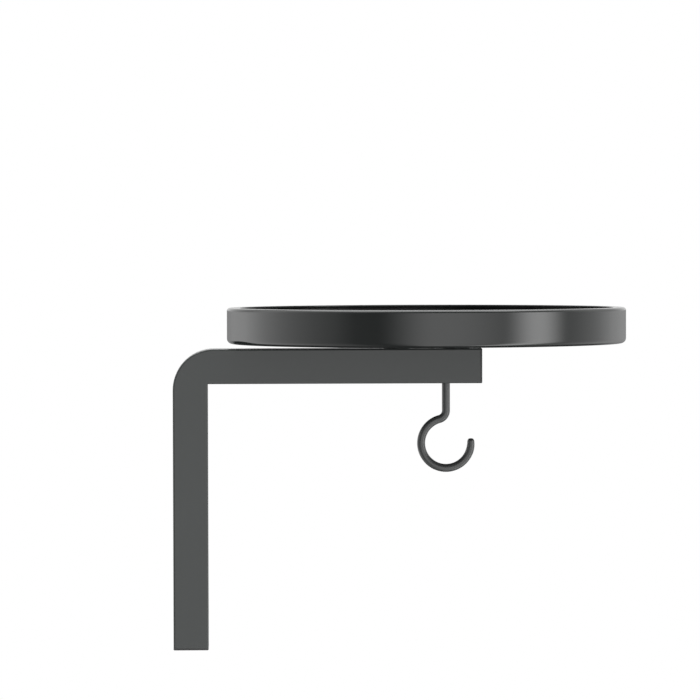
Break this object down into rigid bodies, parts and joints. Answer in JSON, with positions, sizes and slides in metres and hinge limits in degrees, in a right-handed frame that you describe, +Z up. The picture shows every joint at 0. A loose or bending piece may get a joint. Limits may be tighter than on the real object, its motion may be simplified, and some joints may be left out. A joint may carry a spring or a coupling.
{
  "type": "wall plant shelf",
  "caption": "Round low-walled metal tray on an L-shaped square-tube wall bracket, with an open hook under the arm for a hanging plant.",
  "frame": {"origin": "on the wall face of the bracket's leg, midway between its two wall-screw holes", "axes": "+X out from the wall along the arm, +Y along the wall, +Z up"},
  "size_m": [0.2595, 0.2284, 0.1953],
  "materials": {
    "bracket_coat": "satin anthracite powder coat on steel tube",
    "tray_coat": "semi-gloss anthracite powder coat on steel sheet",
    "hook_coat": "satin anthracite coat on steel wire",
    "cap_plastic": "fine-grained black polyethylene",
    "spacer_nylon": "matte black nylon",
    "black_zinc": "black zinc plate",
    "bright_zinc": "bright zinc plate"
  },
  "bodies": {
    "shelf": {"bracket": "bracket_coat", "arm_end_cap": "cap_plastic", "leg_end_cap": "cap_plastic", "tray": "tray_coat", "tray_spacers": "spacer_nylon", "tray_screws": "black_zinc", "tray_rivet_nuts": "bright_zinc", "hook_weld_nut": "bright_zinc"},
    "hook": {"hook": "hook_coat"}
  },
  "joints": [
    {"name": "hook_turn", "type": "hinge", "parent": "shelf", "child": "hook", "pos_m": [0.1565, 0, 0.078], "axis": [0, 0, 1], "range_deg": [-180, 180]}
  ]
}
